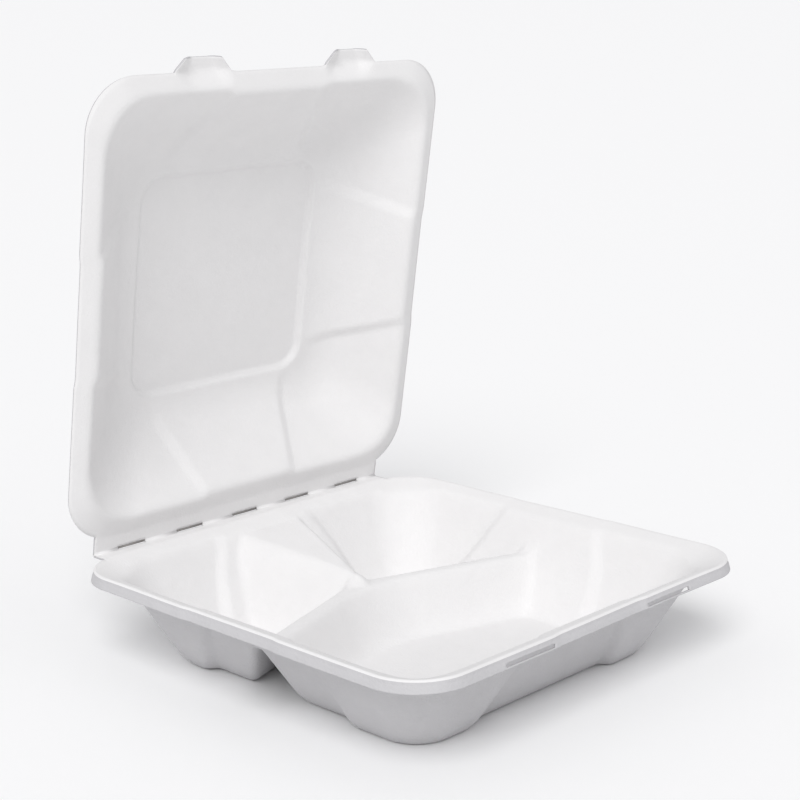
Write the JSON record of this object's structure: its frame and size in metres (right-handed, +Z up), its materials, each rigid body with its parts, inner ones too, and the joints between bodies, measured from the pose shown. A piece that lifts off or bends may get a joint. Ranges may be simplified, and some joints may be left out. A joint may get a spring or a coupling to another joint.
{
  "type": "hinged moulded pulp food container",
  "caption": "Square moulded bagasse takeaway container with divided compartments and a hinged domed lid, shown open.",
  "frame": {"origin": "middle of the face that the tray stands on, under the centre of the square rim", "axes": "+Z up, X along the fold of the lid, +Y towards the fold; the two lid tabs and the large compartment are on the -Y side"},
  "size_m": [0.2104, 0.2335, 0.2578],
  "materials": {
    "pulp": "matte off-white moulded sugarcane pulp, slightly fibrous"
  },
  "bodies": {
    "tray": {"base_tray": "pulp"},
    "cover": {"lid": "pulp"}
  },
  "joints": [
    {"name": "lid_hinge", "type": "hinge", "parent": "tray", "child": "cover", "pos_m": [0, 0.1095, 0.043], "axis": [-1, 0, 0], "range_deg": [-80.5, 95]}
  ]
}
